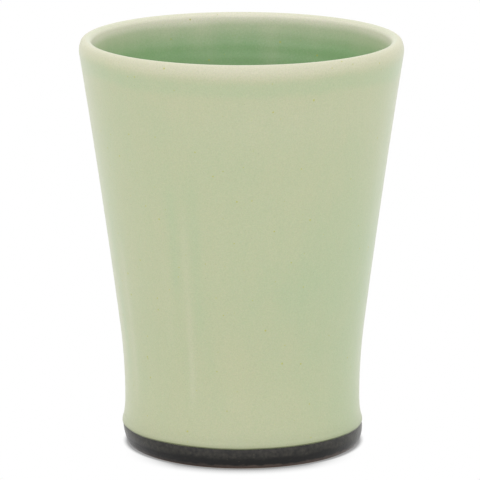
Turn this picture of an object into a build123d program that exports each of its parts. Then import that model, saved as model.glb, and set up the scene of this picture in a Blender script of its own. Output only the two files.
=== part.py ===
from build123d import *

import os
from math import asin, atan2, degrees

# A wheel-thrown celadon brush pot: a tapered stoneware beaker with a narrow waist, a rounded heel and a
# shallow foot ring. The clay carries three fired coats of celadon (outside, inside and under the base) and
# one band of iron slip round the heel. Every piece is a body of revolution about Z. Z = 0 is the face the
# pot stands on, and the origin is the centre of that face. Sections are drawn as (radius, height).

# ---- The fired pot, in millimetres ----
height = 126.5
rim_radius = 49.7  # widest point of the lip, over the glaze
lip_crest = 1.8  # radius of the lip's rounded top, over the glaze
lip_shoulder = 6.5  # radius of the gentler round outside the top, over the glaze
lip_turn = 22.0  # degrees above level at which the shoulder runs into the rounded top
waist_radius = 36.3  # narrowest point of the outside, over the glaze
waist_height = 14.2
heel_radius = 37.2  # widest point of the foot, over the slip
heel_height = 4.35

# ---- Coats on the clay ----
glaze = 0.5  # thickness of every celadon coat
slip = 0.2  # thickness of the iron slip band
coat_bottom = 0.5  # slip and base glaze are wiped off below here, so the standing edge is bare
glaze_line = 6.3  # lower edge of the outside glaze
slip_top = 7.6  # the outside glaze laps over the slip from the glaze line up to here
glaze_edge_round = 0.2

# ---- Curves of the bare clay ----
heel_curl = 7.1  # radius of the heel, which curls in to the standing face
belly_curl = 192.0  # radius of the outside just above the waist
belly_sweep = 7.1  # degrees the belly turns through before the long upper wall takes over
liner_lean = 8.35  # degrees the inside wall leans out from upright
floor_curl = 12.5  # radius of the inside corner between wall and floor
floor_height = 8.5

# ---- Foot ring, bare clay ----
foot_ring_width = 4.9
footwell_depth = 3.7
footwell_curl = 1.7
standing_edge_round = 0.8
inner_edge_round = 0.4

# ---- Worked out from the above ----
upright = 180  # degrees: the direction in towards the axis, square to an upright surface
crest_curl = lip_crest - glaze
shoulder_curl = lip_shoulder - glaze
heel_centre = Vector(heel_radius - slip - heel_curl, heel_height)
waist = Vector(waist_radius - glaze, waist_height)


def towards(angle):
    """Unit vector at an angle in degrees, measured from the radius axis."""
    return Vector(1, 0).rotate(Axis.Z, angle)


def heading(start, end):
    """Direction from one point to another, in degrees from the radius axis."""
    gap = end - start
    return degrees(atan2(gap.Y, gap.X)) % 360


def hollow_to_touch(start, inward, round_centre, curl):
    """Radius of the hollow arc that leaves start, square to inward, and just touches a convex round."""
    reach = start - round_centre
    return (reach.dot(reach) - curl**2) / (2 * (reach.dot(inward) + curl))


# Lip: a gentle shoulder outside, which runs into the tighter round of the top.
shoulder_to_crest = towards(lip_turn) * (lip_shoulder - lip_crest)
crest_centre = Vector(rim_radius - lip_shoulder + shoulder_to_crest.X, height - lip_crest)
shoulder_centre = crest_centre - shoulder_to_crest

# Waist to heel: one hollow arc, upright at the waist, that runs into the heel.
ankle_curl = hollow_to_touch(waist, towards(upright), heel_centre, heel_curl)
ankle_centre = waist - towards(upright) * ankle_curl
ankle_end = heading(ankle_centre, heel_centre)

# Waist to lip: the belly's hollow arc, then one long, almost straight arc that runs into the shoulder.
belly_centre = waist - towards(upright) * belly_curl
belly_end = upright - belly_sweep
belly_top = belly_centre + towards(belly_end) * belly_curl
wall_curl = hollow_to_touch(belly_top, towards(belly_end), shoulder_centre, shoulder_curl)
wall_centre = belly_top - towards(belly_end) * wall_curl
wall_end = heading(wall_centre, shoulder_centre)

# Inside: a straight leaning wall between the lip and the rounded corner of the floor.
liner_end = upright - liner_lean
liner_inward = towards(liner_end)
corner_height = floor_height + floor_curl
corner_rise = (corner_height - crest_centre.Y) * liner_inward.Y
corner_radius = crest_centre.X + (crest_curl + floor_curl - corner_rise) / liner_inward.X
corner_centre = Vector(corner_radius, corner_height)

# Foot ring: the flat the pot stands on, between the heel and the footwell.
standing_radius = heel_centre.X + (heel_curl**2 - heel_height**2) ** 0.5
footwell_radius = standing_radius - foot_ring_width

# ---- Cutting outlines that part one coat from the next ----
clear = 10.0  # how far a cutting outline runs past the section it trims
mid_foot = (33.0, glaze_line)  # inside the clay, above the foot ring
mid_wall = (36.5, 48.0)  # inside the clay, part way up the wall
lip_middle = (crest_centre.X, crest_centre.Y)
above_lip = (crest_centre.X, height + clear)
above_axis = (0, height + clear)
above_outside = (rim_radius + clear, height + clear)
below_outside = (rim_radius + clear, glaze_line)


def outline(skin):
    """Half-section of the pot, as a closed line: bare clay grown by skin on all but its standing face."""
    heel_start = -degrees(asin(heel_height / (heel_curl + skin)))
    shoulder_start = wall_end - upright
    with BuildLine() as section:
        heel = CenterArc(heel_centre, heel_curl + skin, heel_start, ankle_end - upright - heel_start)
        CenterArc(ankle_centre, ankle_curl - skin, ankle_end, upright - ankle_end)
        CenterArc(belly_centre, belly_curl - skin, upright, -belly_sweep)
        CenterArc(wall_centre, wall_curl - skin, belly_end, wall_end - belly_end)
        CenterArc(shoulder_centre, shoulder_curl + skin, shoulder_start, lip_turn - shoulder_start)
        crest = CenterArc(crest_centre, crest_curl + skin, lip_turn, liner_end - lip_turn)
        corner = CenterArc(corner_centre, floor_curl - skin, -liner_lean, liner_lean - 90)
        Line(crest @ 1, corner @ 0)
        base_height = footwell_depth - skin
        well_radius = footwell_radius - skin
        well_curl = footwell_curl - skin
        well = CenterArc((well_radius - well_curl, base_height - well_curl), well_curl, 0, 90)
        Polyline(corner @ 1, (0, floor_height + skin), (0, base_height), well @ 1)
        Polyline(well @ 0, (well_radius, 0), heel @ 0)
    return section.line


def slip_section():
    """Half-section of the slip band: a thin skin on the heel, between its wiped edge and its top."""
    with BuildSketch() as band:
        make_face(outline(slip))
        make_face(outline(0), mode=Mode.SUBTRACT)
        with Locations((mid_foot[0], coat_bottom)):
            Rectangle(clear, slip_top - coat_bottom, align=Align.MIN, mode=Mode.INTERSECT)
    return band.sketch


def coat_section(*corners):
    """Draw the half-section of a celadon coat: the skin of glaze that lies inside these corners."""
    make_face(outline(glaze))
    make_face(outline(0), mode=Mode.SUBTRACT)
    Polygon(*corners, align=None, mode=Mode.INTERSECT)


# ---- Body: bare stoneware ----
with BuildPart() as clay_body:
    with BuildSketch(Plane.XZ):
        make_face(outline(0))
        standing_edges = vertices().group_by(Axis.Y)[0].sort_by(Axis.X)
        fillet(standing_edges[-1], standing_edge_round)
        fillet(standing_edges[0], inner_edge_round)
    revolve(axis=Axis.Z)

# ---- Iron slip round the heel ----
with BuildPart() as foot_slip:
    with BuildSketch(Plane.XZ):
        add(slip_section())
    revolve(axis=Axis.Z)

# ---- Celadon outside, from the crest of the lip down over the top of the slip ----
with BuildPart() as outer_glaze:
    with BuildSketch(Plane.XZ):
        coat_section(mid_foot, mid_wall, lip_middle, above_lip, above_outside, below_outside)
        add(slip_section(), mode=Mode.SUBTRACT)
        fillet(vertices().group_by(Axis.Y)[0].sort_by(Axis.X)[-1], glaze_edge_round)
    revolve(axis=Axis.Z)

# ---- Celadon inside, from the crest of the lip down over the floor ----
with BuildPart() as liner_glaze:
    with BuildSketch(Plane.XZ):
        coat_section((0, glaze_line), mid_foot, mid_wall, lip_middle, above_lip, above_axis)
    revolve(axis=Axis.Z)

# ---- Celadon in the footwell, under the base ----
with BuildPart() as base_glaze:
    with BuildSketch(Plane.XZ):
        coat_section((0, coat_bottom), (mid_foot[0], coat_bottom), mid_foot, (0, glaze_line))
    revolve(axis=Axis.Z)

pieces = {
    "clay_body": clay_body,
    "foot_slip": foot_slip,
    "outer_glaze": outer_glaze,
    "liner_glaze": liner_glaze,
    "base_glaze": base_glaze,
}
os.makedirs("parts", exist_ok=True)
for name, piece in pieces.items():
    piece.part.label = name
    export_step(piece.part, f"parts/{name}.step")
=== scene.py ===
import math

import bmesh
import bpy
import numpy as np
from mathutils import Euler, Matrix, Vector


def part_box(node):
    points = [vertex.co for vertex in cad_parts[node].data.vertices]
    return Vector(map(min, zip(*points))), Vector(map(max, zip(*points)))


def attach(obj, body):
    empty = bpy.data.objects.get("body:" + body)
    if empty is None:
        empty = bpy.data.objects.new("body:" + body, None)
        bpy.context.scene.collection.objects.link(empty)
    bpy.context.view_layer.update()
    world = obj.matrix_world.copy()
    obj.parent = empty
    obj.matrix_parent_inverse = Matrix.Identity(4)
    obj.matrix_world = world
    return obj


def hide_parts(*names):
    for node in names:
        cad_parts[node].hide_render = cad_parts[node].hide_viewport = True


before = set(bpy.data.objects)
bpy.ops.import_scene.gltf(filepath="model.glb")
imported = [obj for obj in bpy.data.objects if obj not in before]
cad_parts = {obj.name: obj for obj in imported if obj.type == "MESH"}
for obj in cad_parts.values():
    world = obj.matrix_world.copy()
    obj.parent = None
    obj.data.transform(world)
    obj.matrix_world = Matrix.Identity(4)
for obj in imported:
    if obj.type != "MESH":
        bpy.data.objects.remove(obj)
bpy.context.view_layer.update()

MM = 0.001


def top(node):
    """Highest corner of a CAD node, in millimetres."""
    return np.array(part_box(node)[1]) / MM


def bottom(node):
    """Lowest corner of a CAD node, in millimetres."""
    return np.array(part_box(node)[0]) / MM


# ---- Sizes read from the frame, in millimetres ----
HEIGHT = top("outer_glaze")[2]
RIM = top("outer_glaze")[0]
HEEL = top("foot_slip")[0]
GLAZE = HEIGHT - top("clay_body")[2]
GLAZE_LINE = bottom("outer_glaze")[2]
COAT_BOTTOM, SLIP_TOP = bottom("foot_slip")[2], top("foot_slip")[2]
FLOOR = bottom("liner_glaze")[2]
WELL_RADIUS, WELL_DEPTH = top("base_glaze")[0], top("base_glaze")[2]

# ---- Curves of the bare clay and the slip's thickness, the same as the CAD's ----
SLIP = 0.2
LIP_CREST, LIP_SHOULDER, LIP_TURN = 1.8, 6.5, 22.0
WAIST = np.array([36.3 - GLAZE, 14.2])
HEEL_HEIGHT, HEEL_CURL = 4.35, 7.1
BELLY_CURL, BELLY_SWEEP = 192.0, 7.1
LINER_LEAN, FLOOR_CURL = 8.35, 12.5
WELL_CURL = 1.7
STANDING_ROUND, INNER_ROUND = 0.8, 0.4
INWARD = 180  # degrees: the direction in towards the axis, square to an upright surface

# ---- How a thrown pot strays from a true round, in millimetres and radians ----
OVAL = 0.06  # the mouth's radius is this much larger one way and smaller the other
RIM_TILT, RIM_WAVE = 0.18, 0.03  # rise and fall of the rim, once and twice round the pot
TILT_TURN = 2.15  # sets which side of the rim is the high one
HEEL_DENT = 0.62  # the left of the heel is drawn in by this much
DENT_LOW, DENT_HIGH = 2.5, 7.2  # the dent is full up to the first height and gone by the second
DENT_SIDE_START, DENT_SIDE_FULL = 0.3, 0.95  # share of the way out to the left, as a sine
WANDER, WANDER_FINE = 0.16, 0.06  # how far the glaze line strays up and down
WANDER_FADE = 1.2  # height over which that dies out above the line

# ---- Fineness of the meshes ----
COLUMNS = 400  # facets round every turned piece
ARC_DENSITY = 0.5  # points on an arc, for each degree and each millimetre of its radius
FEWEST_ON_ARC = 8
POINTS_ON_LINE = 40
SAME_PLACE = 1e-6  # points of a path closer than this are one point
ON_AXIS = 1e-7  # a ring narrower than this, in metres, is a single point on the axis
SHARP = math.radians(50)  # an edge that turns more than this is kept crisp
WAVES = 28  # waves added up in each pattern of clouds


# ---- The clay's outline as a path with normals ----
def towards(angle):
    """Unit vector at an angle in degrees, measured from the radius axis."""
    a = math.radians(angle)
    return np.array([math.cos(a), math.sin(a)])


def heading(start, end):
    """Direction from one point to another, in degrees from the radius axis."""
    gap = end - start
    return math.degrees(math.atan2(gap[1], gap[0])) % 360


def hollow_to_touch(start, inward, centre, curl):
    """Radius of the hollow arc that leaves start, square to inward, and just touches a convex round."""
    reach = start - centre
    return (reach @ reach - curl**2) / (2 * (reach @ inward + curl))


def arc(centre, radius, start, end):
    """Points and outward normals along a round whose centre is inside the clay."""
    count = max(FEWEST_ON_ARC, int(abs(end - start) * radius * ARC_DENSITY))
    angles = np.radians(np.linspace(start, end, count))
    spokes = np.stack([np.cos(angles), np.sin(angles)], 1)
    return centre + spokes * radius, spokes


def line(start, end, normal):
    t = np.linspace(0, 1, POINTS_ON_LINE)[:, None]
    return start + (end - start) * t, np.repeat([normal], POINTS_ON_LINE, 0)


def hollow(centre, radius, start, end):
    """Points and outward normals along a hollow arc, whose centre is outside the clay."""
    points, spokes = arc(centre, radius, start, end)
    return points, -spokes


class Path:
    """A line along the clay's surface: radius, height and outward normal against the distance walked."""

    def __init__(self, *parts):
        points = np.concatenate([p for p, _ in parts])
        normals = np.concatenate([n for _, n in parts])
        step = np.r_[1, np.linalg.norm(np.diff(points, axis=0), axis=1)]
        keep = step > SAME_PLACE
        self.points, self.normals = points[keep], normals[keep]
        self.s = np.r_[0, np.cumsum(np.linalg.norm(np.diff(self.points, axis=0), axis=1))]

    def at(self, s):
        """Radius, height and the two parts of the unit normal at each distance."""
        p = [np.interp(s, self.s, self.points[:, i]) for i in (0, 1)]
        n = [np.interp(s, self.s, self.normals[:, i]) for i in (0, 1)]
        size = np.hypot(*n)
        return p[0], p[1], n[0] / size, n[1] / size

    def where(self, test):
        """Distance at which a test on (radius, height, normal's rise) first comes true."""
        r, z, nr, nz = *self.points.T, *self.normals.T
        return float(self.s[np.argmax(test(r, z, nr, nz))])


crest_curl = LIP_CREST - GLAZE
shoulder_curl = LIP_SHOULDER - GLAZE
shoulder_to_crest = towards(LIP_TURN) * (LIP_SHOULDER - LIP_CREST)
crest_centre = np.array([RIM - LIP_SHOULDER + shoulder_to_crest[0], HEIGHT - LIP_CREST])
shoulder_centre = crest_centre - shoulder_to_crest
heel_centre = np.array([HEEL - SLIP - HEEL_CURL, HEEL_HEIGHT])
ankle = hollow_to_touch(WAIST, towards(INWARD), heel_centre, HEEL_CURL)
ankle_centre = WAIST + [ankle, 0]
ankle_end = heading(ankle_centre, heel_centre)
belly_centre = WAIST + [BELLY_CURL, 0]
belly_end = INWARD - BELLY_SWEEP
belly_top = belly_centre + towards(belly_end) * BELLY_CURL
wall = hollow_to_touch(belly_top, towards(belly_end), shoulder_centre, shoulder_curl)
wall_centre = belly_top - towards(belly_end) * wall
wall_end = heading(wall_centre, shoulder_centre)
liner_end = INWARD - LINER_LEAN
liner_inward = towards(liner_end)
corner_z = FLOOR + FLOOR_CURL
corner_rise = (corner_z - crest_centre[1]) * liner_inward[1]
corner_r = crest_centre[0] + (crest_curl + FLOOR_CURL - corner_rise) / liner_inward[0]
corner_centre = np.array([corner_r, corner_z])

# Standing edge: a small round between the heel's arc and the flat.
round_reach = math.sqrt((HEEL_CURL - STANDING_ROUND) ** 2 - (HEEL_HEIGHT - STANDING_ROUND) ** 2)
round_centre = np.array([heel_centre[0] + round_reach, STANDING_ROUND])
heel_start = heading(heel_centre, round_centre) - 360

# From the standing edge up the outside, over the lip and down the inside to the middle of the floor.
skin = Path(
    arc(round_centre, STANDING_ROUND, -90, heel_start),
    arc(heel_centre, HEEL_CURL, heel_start, ankle_end - INWARD),
    hollow(ankle_centre, ankle, ankle_end, INWARD),
    hollow(belly_centre, BELLY_CURL, INWARD, belly_end),
    hollow(wall_centre, wall, belly_end, wall_end),
    arc(shoulder_centre, shoulder_curl, wall_end - INWARD, LIP_TURN),
    arc(crest_centre, crest_curl, LIP_TURN, liner_end),
    line(crest_centre + liner_inward * crest_curl, corner_centre - liner_inward * FLOOR_CURL, liner_inward),
    hollow(corner_centre, FLOOR_CURL, -LINER_LEAN, -90),
    line(np.array([corner_r, FLOOR]), np.array([0, FLOOR]), [0, 1]),
)

# From the middle of the footwell out to the foot ring's inner edge.
inner_centre = np.array([WELL_RADIUS + INNER_ROUND, INNER_ROUND])
well_centre = np.array([WELL_RADIUS - WELL_CURL, WELL_DEPTH - WELL_CURL])
under = Path(
    line(np.array([0, WELL_DEPTH]), np.array([well_centre[0], WELL_DEPTH]), [0, -1]),
    hollow(well_centre, WELL_CURL, 90, 0),
    line(np.array([WELL_RADIUS, well_centre[1]]), np.array([WELL_RADIUS, INNER_ROUND]), [-1, 0]),
    arc(inner_centre, INNER_ROUND, 180, 270),
)

# ---- Where the coats begin and end along the path ----
# nr is the outward part of the surface's normal: 1 on an upright outside wall, -1 on an upright inside one.
ROUNDS_OVER = 0.6  # nr where the lip has turned well over
LINER_UPRIGHT = -0.98  # nr where the lip has run into the inside wall


def upper_half(z):
    return z > HEIGHT / 2


S_SLIP_BOTTOM = skin.where(lambda r, z, nr, nz: z > COAT_BOTTOM)
S_GLAZE_LINE = skin.where(lambda r, z, nr, nz: z > GLAZE_LINE)
S_SLIP_TOP = skin.where(lambda r, z, nr, nz: z > SLIP_TOP)
S_LIP = skin.where(lambda r, z, nr, nz: upper_half(z) & (nr > 0) & (nr < ROUNDS_OVER))
S_CREST = skin.where(lambda r, z, nr, nz: upper_half(z) & (nr <= 0))
S_LINER = skin.where(lambda r, z, nr, nz: upper_half(z) & (nr < LINER_UPRIGHT))
S_END = skin.s[-1]

columns = np.arange(COLUMNS) * 2 * np.pi / COLUMNS
degrees = np.degrees(columns)


# ---- Soft patterns on the pot, by angle in degrees (0 in front, + to the right) and height ----
def ramp(x, low, high):
    """0 up to low, 1 from high on, and a soft step between them."""
    t = np.clip((x - low) / (high - low), 0, 1)
    return t * t * (3 - 2 * t)


def turn(angle, middle):
    """Signed degrees from middle to angle, the short way round."""
    return (angle - middle + 180) % 360 - 180


def clouds(angle, z, cells, tall, seed):
    """Smooth seamless noise, about -1 to 1: blots with this many round the pot, each about tall mm high."""
    rng = np.random.default_rng(seed)
    slant = rng.uniform(0, 2 * np.pi, WAVES)
    pace = rng.uniform(0.35, 1.0, WAVES)
    start = rng.uniform(0, 2 * np.pi, WAVES)
    round_pot = np.rint(cells / 2 * pace * np.cos(slant))
    up_pot = np.pi / tall * pace * np.sin(slant)
    total = 0
    for k in range(WAVES):
        total = total + np.cos(round_pot[k] * np.radians(angle) + up_pot[k] * z + start[k])
    return 0.4 * total / math.sqrt(WAVES / 2)


RUN_FOOT, RUN_HEAD = 12, 18  # lengths over which a run fades out at its lower and upper end


def patch(angle, z, middle, height, wide, tall):
    """A soft blot, 1 at its middle, that fades over wide degrees and tall mm."""
    return np.exp(-((turn(angle, middle) / wide) ** 2) - ((z - height) / tall) ** 2)


def run(angle, z, middle, wide, low, high):
    """A run of glaze down the wall between two heights, with soft ends."""
    ends = ramp(z, low, low + RUN_FOOT) * (1 - ramp(z, high - RUN_HEAD, high))
    return np.exp(-((turn(angle, middle) / wide) ** 2)) * ends


def placed(r, z, angle):
    """A turned point in the row frame, in metres, with the tilt, oval and dented heel of a thrown pot."""
    a = np.radians(angle)
    up = np.clip(z / HEIGHT, 0, 1)
    left = ramp(-np.sin(a), DENT_SIDE_START, DENT_SIDE_FULL)
    heel = (1 - ramp(z, DENT_LOW, DENT_HIGH)) * ramp(r, WELL_RADIUS, HEEL) * left
    r = r * (1 + up * OVAL * np.cos(2 * a) / RIM) - HEEL_DENT * heel
    z = z + up**3 * (RIM_TILT * np.cos(a + TILT_TURN) + RIM_WAVE * np.sin(2 * a))
    return np.stack([r * np.sin(a), -r * np.cos(a), z], -1) * MM


def surface(s, lift, path=skin):
    """Grid of points over the path's rows s, raised from the clay by lift (rows x columns or a number)."""
    r, z, nr, nz = (v[:, None] for v in path.at(np.asarray(s, float)))
    lift = np.broadcast_to(lift, (len(s), COLUMNS))
    return placed(np.maximum(r + nr * lift, 0), z + nz * lift, degrees[None, :])


def rows(*spans):
    """Distances along a path: each span is (start, end, spacing)."""
    out = []
    for start, end, gap in spans:
        count = max(2, int(round(abs(end - start) / gap)) + 1)
        out.extend(np.linspace(start, end, count)[:-1])
    return np.array(out + [spans[-1][1]])


# ---- Meshes ----
def between(a, b):
    """Faces between two neighbouring rings of point numbers; a ring of one point is on the axis."""
    if len(a) == len(b) == 1:
        return []
    if len(a) == 1:
        return [(a[0], b[j], b[j - COLUMNS + 1]) for j in range(COLUMNS)]
    if len(b) == 1:
        return [(a[j - COLUMNS + 1], a[j], b[0]) for j in range(COLUMNS)]
    return [(a[j - COLUMNS + 1], a[j], b[j], b[j - COLUMNS + 1]) for j in range(COLUMNS)]


def smoothed(mesh):
    """Turn every face outwards and shade it smooth, with crisp edges where the shape turns sharply."""
    bm = bmesh.new()
    bm.from_mesh(mesh)
    bmesh.ops.recalc_face_normals(bm, faces=bm.faces)
    for face in bm.faces:
        face.smooth = True
    for edge in bm.edges:
        if edge.calc_face_angle(0) > SHARP:
            edge.smooth = False
    bm.to_mesh(mesh)
    bm.free()


def turned(name, grids, fields, ring_closed):
    """Closed mesh through rows of rings. Each field is a value per point, kept as an attribute."""
    points, rings = [], []
    values = {key: [] for key in fields}
    for index, grid in enumerate(grids):
        for k, ring in enumerate(grid):
            pole = np.hypot(ring[:, 0], ring[:, 1]).max() < ON_AXIS
            count = 1 if pole else COLUMNS
            rings.append(np.arange(count) + len(points))
            points.extend(ring[:count])
            for key, field in fields.items():
                values[key].extend(field[index][k][:count])
    faces = []
    pairs = list(zip(rings, rings[1:])) + ([(rings[-1], rings[0])] if ring_closed else [])
    for a, b in pairs:
        faces += between(a, b)
    mesh = bpy.data.meshes.new(name)
    mesh.from_pydata([tuple(p) for p in points], [], [tuple(int(i) for i in f) for f in faces])
    for key, data in values.items():
        mesh.attributes.new(key, "FLOAT", "POINT").data.foreach_set("value", np.array(data, np.float32))
    smoothed(mesh)
    return mesh


def coat(node, sides, fields, material, ring_closed=True):
    """A turned piece that stands for a CAD node. sides are its rows of rings, outer face first."""
    mesh = turned(node + "_skin", sides, fields, ring_closed)
    mesh.materials.append(material)
    piece = bpy.data.objects.new(node + "_skin", mesh)
    bpy.context.scene.collection.objects.link(piece)
    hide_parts(node)
    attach(piece, "root")


def with_back(pattern, hidden_rows):
    """The pattern's fields on the glazed face, and zero on the hidden rows against the clay."""
    return {key: [value, np.zeros((len(hidden_rows), COLUMNS))] for key, value in pattern.items()}


# ---- Materials ----
GLASS_IOR = 1.5
HAZE_ROUGHNESS = 0.3
SMALLEST_SPECK = 0.4  # of the largest one's radius
SOFT_EDGE = 0.35  # of the largest one's radius


class Shader:
    """A material's node tree, built one node at a time."""

    def __init__(self, name):
        self.material = bpy.data.materials.new(name)
        self.material.use_nodes = True
        self.tree = self.material.node_tree
        self.tree.nodes.clear()
        self.place = self.add("ShaderNodeTexCoord").outputs["Object"]

    def add(self, kind, inputs=None, **settings):
        node = self.tree.nodes.new(kind)
        for key, value in settings.items():
            setattr(node, key, value)
        for key, value in (inputs or {}).items():
            if isinstance(value, bpy.types.NodeSocket):
                self.tree.links.new(value, node.inputs[key])
            else:
                node.inputs[key].default_value = value
        return node

    def attribute(self, name):
        return self.add("ShaderNodeAttribute", attribute_name=name).outputs["Fac"]

    def math(self, operation, a, b=0.0):
        return self.add("ShaderNodeMath", {0: a, 1: b}, operation=operation).outputs[0]

    def plus(self, a, b):
        return self.math("ADD", a, b)

    def times(self, a, b):
        return self.math("MULTIPLY", a, b)

    def span(self, value, low, high, to_low=0.0, to_high=1.0):
        """value's range low..high moved to to_low..to_high, and held there."""
        inputs = {"Value": value, "From Min": low, "From Max": high, "To Min": to_low, "To Max": to_high}
        return self.add("ShaderNodeMapRange", inputs).outputs[0]

    def mix(self, share, a, b):
        colours = {"Factor": share, 6: a, 7: b}
        return self.add("ShaderNodeMix", colours, data_type="RGBA").outputs[2]

    def noise(self, size, detail=3.0, stretch=(1, 1, 1)):
        """Noise from 0 to 1 whose grain is about size mm."""
        scaled = self.add("ShaderNodeVectorMath", {0: self.place, 1: stretch}, operation="MULTIPLY")
        inputs = {"Vector": scaled.outputs[0], "Scale": 1 / (size * MM), "Detail": detail}
        return self.add("ShaderNodeTexNoise", inputs).outputs["Fac"]

    def specks(self, spacing, radius, share):
        """1 inside small round specks, which a share of the cells spacing mm across has, and 0 elsewhere."""
        cells = self.add("ShaderNodeTexVoronoi", {"Vector": self.place, "Scale": 1 / (spacing * MM)})
        chance = self.add("ShaderNodeSeparateColor", {0: cells.outputs["Color"]})
        largest = radius / spacing
        size = self.span(chance.outputs[1], 0, 1, largest * SMALLEST_SPECK, largest)
        inside = self.math("SUBTRACT", size, cells.outputs["Distance"])
        inside = self.span(inside, 0, largest * SOFT_EDGE)
        return self.times(inside, self.math("LESS_THAN", chance.outputs[0], share))

    def finish(self, colour, roughness, height=None, depth=0.0, gloss=0.5, haze=0.0):
        """Principled surface; haze is a faint pale veil seen only at glancing angles."""
        inputs = {"Base Color": colour, "Roughness": roughness, "IOR": GLASS_IOR}
        inputs |= {"Specular IOR Level": gloss, "Sheen Weight": haze, "Sheen Roughness": HAZE_ROUGHNESS}
        if height is not None:
            bump = self.add("ShaderNodeBump", {"Height": height, "Strength": 1.0, "Distance": depth * MM})
            inputs["Normal"] = bump.outputs[0]
        principled = self.add("ShaderNodeBsdfPrincipled", inputs)
        self.add("ShaderNodeOutputMaterial", {"Surface": principled.outputs[0]})
        return self.material


def colour(r, g, b):
    return (r, g, b, 1.0)


def grey(level):
    return colour(level, level, level)


FINE_GRAIN = 0.4  # size of the glaze's finest grain, in mm
GRAIN_GREY = 0.65  # share of that grain that is lighter and darker, not coloured
GRAIN_SPREAD = (0.32, 0.34, 0.56)  # how much the grain moves red, green and blue
GRAIN_LEVEL = (0.84, 0.83, 0.72)  # red, green and blue where the grain is 0
LAP_TINT = colour(0.048, 0.068, 0.0)  # slip seen through the glaze that laps over it
YELLOW_SPECK, IRON_SPECK = colour(0.47, 0.48, 0.06), colour(0.16, 0.13, 0.08)
WALL_GLOSS, RIM_GLOSS = 0.72, 0.25
WALL_ROUGHNESS = (0.285, 0.325)
RIM_ROUGHER = 0.08
GLAZE_HAZE, SLIP_HAZE = 0.18, 0.38


def celadon(name, base, cream, green):
    """Celadon glaze: cream where it lies thin, greener where it lies thick, finely mottled and specked."""
    sh = Shader(name)
    blotch = sh.span(sh.noise(size=7.0, detail=4.0, stretch=(1, 1, 0.45)), 0.3, 0.7, -0.09, 0.09)
    grain = sh.span(sh.noise(size=0.6), 0.25, 0.75, -0.12, 0.12)
    thick = sh.plus(sh.plus(sh.attribute("thick"), blotch), grain)
    body = sh.mix(sh.span(thick, 0, 1), base, green)
    body = sh.mix(sh.span(sh.attribute("thin"), 0, 1), body, cream)
    body = sh.mix(sh.times(sh.attribute("lap"), 0.8), body, LAP_TINT)
    body = sh.mix(sh.times(sh.specks(spacing=2.9, radius=0.42, share=0.5), 0.7), body, YELLOW_SPECK)
    body = sh.mix(sh.times(sh.specks(spacing=2.3, radius=0.16, share=0.5), 0.4), body, IRON_SPECK)

    fine_inputs = {"Vector": sh.place, "Scale": 1 / (FINE_GRAIN * MM), "Detail": 2.0}
    coloured = sh.add("ShaderNodeTexNoise", fine_inputs).outputs["Color"]
    fine = sh.mix(GRAIN_GREY, coloured, sh.noise(FINE_GRAIN))
    fine_inputs = {0: fine, 1: GRAIN_SPREAD, 2: GRAIN_LEVEL}
    fine = sh.add("ShaderNodeVectorMath", fine_inputs, operation="MULTIPLY_ADD").outputs[0]
    body = sh.add("ShaderNodeVectorMath", {0: body, 1: fine}, operation="MULTIPLY").outputs[0]

    rim = sh.attribute("rim")
    roughness = sh.plus(sh.span(sh.noise(size=4.0), 0.3, 0.7, *WALL_ROUGHNESS), sh.times(rim, RIM_ROUGHER))
    gloss = sh.span(rim, 0, 1, WALL_GLOSS, RIM_GLOSS)
    peel = sh.plus(sh.noise(size=2.2, detail=2.0), sh.times(sh.noise(size=0.5, detail=2.0), 0.15))
    return sh.finish(body, roughness, height=peel, depth=0.03, gloss=gloss, haze=GLAZE_HAZE)


def slip_material():
    """Dark iron slip: mottled, darker and less glossy low down where the heel curls under (the darkening is a
    painted shade), and wiped to rust at the standing edge, least on the left.
    """
    sh = Shader("iron_slip")
    along = sh.add("ShaderNodeSeparateXYZ", {0: sh.place}).outputs
    z_mm = sh.math("DIVIDE", along["Z"], MM)
    mottle = sh.span(sh.noise(size=1.1, detail=5.0), 0.35, 0.68)
    tone = sh.mix(mottle, colour(0.004, 0.0035, 0.003), colour(0.033, 0.029, 0.023))
    # Painted shade: the slip is darker and less glossy below about 3 to 4 mm, where the heel curls under
    # toward the floor.
    shade_height = sh.plus(z_mm, sh.span(sh.noise(size=5.0), 0.3, 0.7, -0.5, 0.5))
    painted_low_shade = sh.span(shade_height, 3.0, 4.0, 1.0, 0.0)
    tone = sh.mix(painted_low_shade, tone, colour(0.008, 0.0075, 0.0075))
    wiped = sh.plus(z_mm, sh.span(sh.noise(size=2.0), 0.3, 0.7, -0.35, 0.35))
    rusty_side = sh.span(along["X"], -20 * MM, 0.0, 0.3, 1.0)
    rust = sh.times(sh.span(wiped, 0.9, 1.6, 0.9, 0.0), rusty_side)
    tone = sh.mix(rust, tone, colour(0.095, 0.068, 0.056))
    flecks = sh.times(sh.specks(spacing=1.6, radius=0.2, share=0.5), 0.45)
    tone = sh.mix(flecks, tone, colour(0.12, 0.10, 0.07))
    roughness = sh.span(sh.noise(size=2.5), 0.3, 0.7, 0.30, 0.42)
    gloss = sh.span(painted_low_shade, 0.0, 1.0, 0.46, 0.32)
    return sh.finish(tone, roughness, height=sh.noise(0.5, 4.0), depth=0.04, gloss=gloss, haze=SLIP_HAZE)


def clay_material():
    """Bare fired stoneware: rough and gritty, flashed from brown to buff, with dark specks."""
    sh = Shader("bare_stoneware")
    grit = sh.span(sh.noise(size=0.5, detail=5.0), 0.3, 0.7)
    flash = sh.span(sh.noise(size=9.0), 0.35, 0.65)
    tone = sh.mix(flash, colour(0.23, 0.125, 0.075), colour(0.34, 0.22, 0.14))
    tone = sh.mix(sh.times(grit, 0.5), tone, colour(0.16, 0.09, 0.06))
    dots = sh.times(sh.specks(spacing=1.5, radius=0.25, share=0.5), 0.7)
    tone = sh.mix(dots, tone, colour(0.05, 0.035, 0.03))
    return sh.finish(tone, sh.span(grit, 0, 1, 0.7, 0.85), height=sh.noise(0.35, 5.0), depth=0.12)


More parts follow.
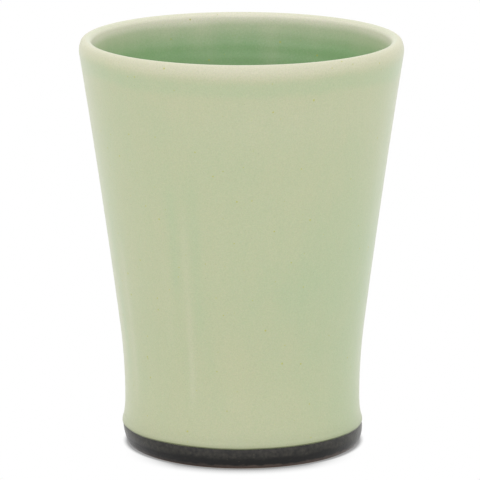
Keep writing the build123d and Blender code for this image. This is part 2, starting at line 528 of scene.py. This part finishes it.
outer_celadon = celadon(
    "outer_celadon",
    base=colour(0.546, 0.557, 0.350),
    cream=colour(0.645, 0.632, 0.475),
    green=colour(0.420, 0.538, 0.320),
)
# The liner's cream is brighter than the outside's: it is partly thin glaze on the lip and partly a painted
# highlight along the lip's inner edge.
liner_celadon = celadon(
    "liner_celadon",
    base=colour(0.50, 0.55, 0.362),
    cream=colour(0.80, 0.765, 0.63),
    green=colour(0.268, 0.442, 0.208),
)
base_celadon = celadon(
    "base_celadon",
    base=colour(0.46, 0.51, 0.32),
    cream=colour(0.60, 0.57, 0.43),
    green=colour(0.40, 0.50, 0.31),
)
iron_slip = slip_material()
bare_stoneware = clay_material()

# ---- Outer glaze ----
# Blots: how much each adds, then its middle in degrees, height, width in degrees, and tallness.
GREEN_BLOTS = (
    (0.26, 30, 62, 42, 34),
    (0.10, 24, 57, 13, 7),
    (0.30, 78, 50, 28, 60),
    (0.12, -72, 62, 20, 50),
    (0.16, 46, 28, 26, 24),
)
CREAM_BLOT = (0.10, 20, 109, 40, 9)
CREAM_FOOT = (0.08, -5, 40)  # low down: how much it adds, its middle and its width in degrees
# Runs: how much each adds, then its middle and width in degrees, its lower end and its upper end.
GREEN_RUNS = (
    (0.22, -29.5, 2.2, 48, 95),
    (0.18, -19.5, 2.4, 36, 98),
    (0.10, -15, 2.0, 22, 50),
)
CREAM_RUN = (0.08, -34.5, 2.2, 30, 75)
LONG_CREAM_RUN = (0.30, -24.2, 1.5, 14, 86)
# Runs round the sides and back: middle, width, lower end and length are drawn between these.
DRAWN_RUNS = 9
LEAST_RUN, MOST_RUN = (70, 1.2, 12, 40), (300, 3.2, 50, 80)


def outer_pattern(s):
    """Where the outside glaze is thin (cream), thick (green), lapped over slip (dark) or rim (dry)."""
    z = skin.at(s)[1][:, None]
    a = degrees[None, :]
    streaky = clouds(a, z, 90, 60, 2) * 0.6 + clouds(a, z, 180, 35, 3) * 0.4
    thick = 0.24 + 0.07 * clouds(a, z, 14, 22, 1) + 0.045 * streaky
    for amount, *blot in GREEN_BLOTS:
        thick += amount * patch(a, z, *blot)
    for amount, *shape in GREEN_RUNS:
        thick += amount * run(a, z, *shape)

    amount, *shape = LONG_CREAM_RUN
    thin = amount * run(a, z, *shape) * (1 - 0.45 * ramp(z, 30, 62))
    amount, *shape = CREAM_RUN
    thin += amount * run(a, z, *shape)
    amount, *blot = CREAM_BLOT
    thin += amount * patch(a, z, *blot)
    amount, middle, wide = CREAM_FOOT
    thin += amount * (1 - ramp(z, 12, 30)) * np.exp(-((turn(a, middle) / wide) ** 2))
    for k in range(DRAWN_RUNS):
        middle, wide, low, tall = np.random.default_rng(40 + k).uniform(LEAST_RUN, MOST_RUN)
        thick += 0.20 * run(a, z, middle, wide, low, low + tall)
        thin += 0.22 * run(a, z, middle + 3 * wide, wide * 0.7, low - 5, low + tall * 0.8)

    # Below the lip the glaze has gathered in a greener band, and over the lip it has drawn thin. Toward the
    # left and right the lip carries less cream, which is a painted shade.
    edge = clouds(a, 0 * z, 16, 10, 5) + 0.5 * clouds(a, 0 * z, 44, 10, 6)
    painted_side_shade = np.sin(np.radians(a)) ** 2
    fall = HEIGHT - z
    below_band = ramp(fall, 7.6 - 0.8 * edge, 10.5 - 0.9 * edge)
    band = ramp(fall, 2.8 - 0.6 * edge, 6.6 - 0.6 * edge) * (1 - below_band)
    lip = 1 - ramp(fall, 0.6 - 0.4 * painted_side_shade - 0.2 * edge, 5.8 - 1.2 * painted_side_shade - 0.5 * edge)
    thick = np.clip(thick * (1 - lip) + 0.28 * band, 0, 1)
    thin = np.clip(thin * (1 - band) * (1 - lip) + lip * (1 - 0.3 * painted_side_shade), 0, 1)

    above = np.maximum(z - GLAZE_LINE, 0)
    lap = np.clip(1 - ramp(above, 0.1, 0.5) + 0.45 * np.exp(-above / 2.3), 0, 1) + 0 * a
    return {"thin": thin, "thick": thick, "lap": lap, "rim": lip}


THROWING_PITCH, LINER_PITCH = 3.4, 4.2  # height between throwing lines, outside and inside
ROLL_HEIGHT, ROLL_TALL, ROLL_PROUD = 0.9, 0.8, 0.16  # the glaze's rolled lower edge, above the glaze line
EDGE_TUCK, TUCK_TALL = 0.24, 0.28  # the very edge is drawn back to the slip


def outer_relief(s):
    """How far the throwing lines, the runs and the rolled lower edge stand off the even coat."""
    z = skin.at(s)[1][:, None]
    a = degrees[None, :]
    lines = np.sin(z * 2 * np.pi / THROWING_PITCH + np.radians(a)) * (0.5 + 0.5 * clouds(a, z, 5, 24, 11))
    lines += 0.7 * clouds(a, z, 3, 1.7, 12)
    quiet = ramp(z, 12, 22) * (1 - ramp(z, 117, 121))
    roll = ROLL_PROUD * np.exp(-(((z - GLAZE_LINE - ROLL_HEIGHT) / ROLL_TALL) ** 2))
    tucked = -EDGE_TUCK * (1 - ramp(z, GLAZE_LINE, GLAZE_LINE + TUCK_TALL))
    return 0.022 * lines * quiet + 0.03 * clouds(a, z, 60, 40, 13) * quiet + roll + tucked


front = rows(
    (S_GLAZE_LINE, S_GLAZE_LINE + 0.5, 0.07),
    (S_GLAZE_LINE + 0.5, S_GLAZE_LINE + 2, 0.25),
    (S_GLAZE_LINE + 2, S_LIP - 10, 0.8),
    (S_LIP - 10, S_LIP - 3, 0.35),
    (S_LIP - 3, S_CREST, 0.2),
)
back = rows((S_CREST, S_SLIP_TOP, 5.0), (S_SLIP_TOP, S_GLAZE_LINE, 0.6))
outside = surface(front, GLAZE + outer_relief(front))
wander = WANDER * clouds(degrees, 0, 24, 10, 8) + WANDER_FINE * clouds(degrees, 0, 90, 10, 9)
fade = np.exp(-np.maximum(front - S_GLAZE_LINE, 0) / WANDER_FADE)
outside[..., 2] += fade[:, None] * wander[None, :] * MM
inside = surface(back, np.where(back < S_SLIP_TOP, SLIP, 0)[:, None])
coat("outer_glaze", [outside, inside], with_back(outer_pattern(front), back), outer_celadon)

# ---- Liner glaze ----
FLOOR_RUN = 34  # length of the path over the inside floor and its corner


def liner_pattern(s):
    """The same four fields for the inside glaze, which is thin on the lip and thick further down. Its cream
    just inside the crest is partly a painted highlight, and the lesser cream at the left and right is a
    painted shade.
    """
    z = skin.at(s)[1][:, None]
    deep = HEIGHT - z
    a = degrees[None, :]
    edge = clouds(a, 0 * z, 16, 10, 5) + 0.5 * clouds(a, 0 * z, 40, 10, 21)
    painted_side_shade = np.sin(np.radians(a)) ** 2
    # Cream peaks just inside the crest. This is thin glaze there, brightened into a painted highlight along
    # the lip's inner edge.
    thin = (0.4 + 0.6 * ramp(deep, 0.2, 1.1)) * (1 - ramp(deep, 1.0 + 0.3 * edge, 4.3 + 0.6 * edge))
    # Painted shade: there is less cream near the crest toward the left and right.
    thin = thin * (1 - 0.35 * painted_side_shade * (1 - ramp(deep, 0.8, 3.2)))
    thick = ramp(deep, 1.2 + 0.4 * edge, 12.2 + 1.2 * edge)
    thick *= 0.97 + 0.05 * clouds(a, z, 22, 30, 22) + 0.05 * clouds(a, z, 90, 45, 23)
    thick += 0.20 * run(a, z, 180, 1.8, 60, 118) + 0.09 * patch(a, z, 137, 112, 13, 20)
    thick -= 0.15 * run(a, z, 168, 5.0, 60, 135) + 0.05 * run(a, z, 196, 6.0, 60, 135)
    nothing = 0 * z + 0 * a
    rim = 1 - ramp(deep, 1.0, 4.0) + nothing
    return {"thin": np.clip(thin, 0, 1), "thick": np.clip(thick, 0, 1), "lap": nothing, "rim": rim}


def liner_relief(s):
    """How far the inside's throwing lines and runs stand off the even coat."""
    z = skin.at(s)[1][:, None]
    a = degrees[None, :]
    lines = np.sin(z * 2 * np.pi / LINER_PITCH - np.radians(a)) * (0.6 + 0.4 * clouds(a, z, 6, 24, 31))
    quiet = (1 - ramp(z, 116, 122)) * ramp(z, FLOOR + 2, FLOOR + 10)
    return 0.035 * lines * quiet + 0.03 * clouds(a, z, 50, 30, 33) * quiet


front = rows(
    (S_CREST, S_LINER + 3, 0.2),
    (S_LINER + 3, S_LINER + 30, 0.7),
    (S_LINER + 30, S_END - FLOOR_RUN, 1.1),
    (S_END - FLOOR_RUN, S_END, 0.9),
)
back = rows((S_END, S_END - FLOOR_RUN, 2.4), (S_END - FLOOR_RUN, S_CREST, 5.0))
sides = [surface(front, GLAZE + liner_relief(front)), surface(back, 0)]
coat("liner_glaze", sides, with_back(liner_pattern(front), back), liner_celadon)

# ---- Iron slip ----
BRUSHED = 0.02  # depth of the brush marks

front = rows((S_SLIP_BOTTOM, S_GLAZE_LINE + 0.3, 0.2), (S_GLAZE_LINE + 0.3, S_SLIP_TOP, 0.5))
back = rows((S_SLIP_TOP, S_SLIP_BOTTOM, 0.6))
z = skin.at(front)[1][:, None]
quiet = ramp(z, COAT_BOTTOM, 1.5) * (1 - ramp(z, 5.5, 6.3))
brush = BRUSHED * clouds(degrees[None, :], z, 8, 0.5, 51) * quiet
coat("foot_slip", [surface(front, SLIP + brush), surface(back, 0)], {}, iron_slip)

# ---- Base glaze ----
U_EDGE = under.where(lambda r, z, nr, nz: (nr < -0.99) & (z < COAT_BOTTOM + 0.02))
EDGE_STRIP = 6  # length of the path before the wiped edge that has closer rows
EDGE_THINNING, THINNING_RUN = 0.6, 0.4  # the coat loses this share of its thickness, over this length


def base_pattern(s):
    """The same four fields for the footwell's glaze, which is thin at its wiped edge."""
    z = under.at(s)[1][:, None]
    a = degrees[None, :]
    along = s[:, None]
    thick = np.clip(0.3 + 0.3 * clouds(a, z + along, 20, 6, 61), 0, 1)
    thin = np.clip(ramp(along, U_EDGE - 2.0, U_EDGE) * 0.7 + 0 * a, 0, 1)
    return {"thin": thin, "thick": thick, "lap": 0 * thin, "rim": 0 * thin}


front = rows((0, U_EDGE - EDGE_STRIP, 0.8), (U_EDGE - EDGE_STRIP, U_EDGE, 0.3))
back = rows((U_EDGE, 0, 1.5))
taper = GLAZE * (1 - EDGE_THINNING * ramp(front, U_EDGE - THINNING_RUN, U_EDGE))[:, None]
sides = [surface(front, taper, under), surface(back, 0, under)]
fields = with_back(base_pattern(front), back)
coat("base_glaze", sides, fields, base_celadon, ring_closed=False)

# ---- Clay ----
outer_rows = rows(
    (S_END, S_END - FLOOR_RUN, 2.0),
    (S_END - FLOOR_RUN, S_LINER, 3.0),
    (S_LINER, S_LIP - 1, 0.3),
    (S_LIP - 1, S_SLIP_TOP, 3.0),
    (S_SLIP_TOP, 0, 0.25),
)
under_rows = rows((under.s[-1], U_EDGE - EDGE_STRIP, 0.25), (U_EDGE - EDGE_STRIP, 0, 2.0))
sides = [surface(outer_rows, 0), surface(under_rows, 0, under)]
coat("clay_body", sides, {}, bare_stoneware, ring_closed=False)

# ---- Stage ----
FLOOR_HALF = 3.0  # half the floor's side, in metres
DIRECT_PALE, BOUNCED_PALE = grey(0.85), grey(0.68)  # the floor as other surfaces see it
WIDE_SHADE, TIGHT_SHADE = 8 * MM, 2 * MM  # reach of the two contact shades
SHADE_CLOSED, SHADE_OPEN = 0.25, 0.95  # how open a point is where the shade is full, and where it ends
SHADE_SAMPLES = 32
DARKEST = 0.33
WIDE_FULL, WIDE_GONE = 20 * MM, 37 * MM  # the wide shade fades out sideways between these


def floor_material():
    """Paper to every other ray; to the camera, an even white with a soft shade where the pot stands."""
    sh = Shader("stage_floor")
    rays = sh.add("ShaderNodeLightPath").outputs
    pale = sh.mix(rays["Is Diffuse Ray"], DIRECT_PALE, BOUNCED_PALE)
    paper = sh.add("ShaderNodeBsdfDiffuse", {"Color": pale})

    def shade(reach):
        openness = sh.add("ShaderNodeAmbientOcclusion", {"Distance": reach}, samples=SHADE_SAMPLES)
        return sh.span(openness.outputs["AO"], SHADE_CLOSED, SHADE_OPEN, 1.0, 0.0)

    across = sh.math("ABSOLUTE", sh.add("ShaderNodeSeparateXYZ", {0: sh.place}).outputs["X"])
    wide = sh.times(sh.span(across, WIDE_FULL, WIDE_GONE, 1.0, 0.0), shade(WIDE_SHADE))
    deepest = sh.math("MAXIMUM", wide, shade(TIGHT_SHADE))
    level = sh.math("MAXIMUM", DARKEST, sh.math("SUBTRACT", 1.0, sh.math("POWER", deepest, 1.5)))
    glow = sh.add("ShaderNodeEmission", {"Color": grey(1), "Strength": level})
    ways = {0: rays["Is Camera Ray"], 1: paper.outputs[0], 2: glow.outputs[0]}
    seen = sh.add("ShaderNodeMixShader", ways)
    sh.add("ShaderNodeOutputMaterial", {"Surface": seen.outputs[0]})
    return sh.material


mesh = bpy.data.meshes.new("floor")
corners = [(x * FLOOR_HALF, y * FLOOR_HALF, 0) for x, y in ((-1, -1), (1, -1), (1, 1), (-1, 1))]
mesh.from_pydata(corners, [], [(0, 1, 2, 3)])
mesh.materials.append(floor_material())
floor = bpy.data.objects.new("floor", mesh)
bpy.context.scene.collection.objects.link(floor)

# ---- Light ----
# The sky's level by the rise of the direction: 0 at the horizon, 1 straight up.
SKY_LOW, SKY_TOP = (0.05, 0.74), (1.0, 0.72)
SKY_BETWEEN = ((0.35, 1.0), (0.7, 0.90))
SKY_STRENGTH = 1.35

world = bpy.data.worlds.new("studio")
world.use_nodes = True
sky = world.node_tree
toward = sky.nodes.new("ShaderNodeTexCoord")
rise = sky.nodes.new("ShaderNodeSeparateXYZ")
levels = sky.nodes.new("ShaderNodeValToRGB")
levels.color_ramp.interpolation = "EASE"
steps = levels.color_ramp.elements
for step, (position, level) in zip(steps, (SKY_LOW, SKY_TOP)):
    step.position = position
    step.color = grey(level)
for position, level in SKY_BETWEEN:
    steps.new(position).color = grey(level)
brighten = sky.nodes.new("ShaderNodeMath")
brighten.operation = "MULTIPLY"
brighten.inputs[1].default_value = SKY_STRENGTH
background = sky.nodes["Background"]
background.inputs["Color"].default_value = grey(1)
sky.links.new(toward.outputs["Generated"], rise.inputs[0])
sky.links.new(rise.outputs["Z"], levels.inputs["Fac"])
sky.links.new(levels.outputs["Color"], brighten.inputs[0])
sky.links.new(brighten.outputs[0], background.inputs["Strength"])
bpy.context.scene.world = world
bpy.context.scene.view_settings.view_transform = "Standard"

# ---- Camera: well back with a long lens, looking a little down on the pot ----
CAMERA_BACK, CAMERA_UP = 1378.2, 362.45  # from the pot's axis, and above the floor
PITCH, YAW, ROLL = math.radians(12.245), math.radians(0.0247), math.radians(-0.13)
SENSOR, LENS = 36.0, 343.3125
NEAREST, FARTHEST = 0.1, 20.0  # metres

camera = bpy.data.cameras.new("camera")
camera.sensor_width = SENSOR
camera.lens = LENS
camera.clip_start, camera.clip_end = NEAREST, FARTHEST
view = bpy.data.objects.new("camera", camera)
view.location = (0, -CAMERA_BACK * MM, CAMERA_UP * MM)
aim = Euler((math.pi / 2 - PITCH, 0, YAW)).to_matrix() @ Euler((0, 0, ROLL)).to_matrix()
view.rotation_euler = aim.to_euler()
bpy.context.scene.collection.objects.link(view)
bpy.context.scene.camera = view
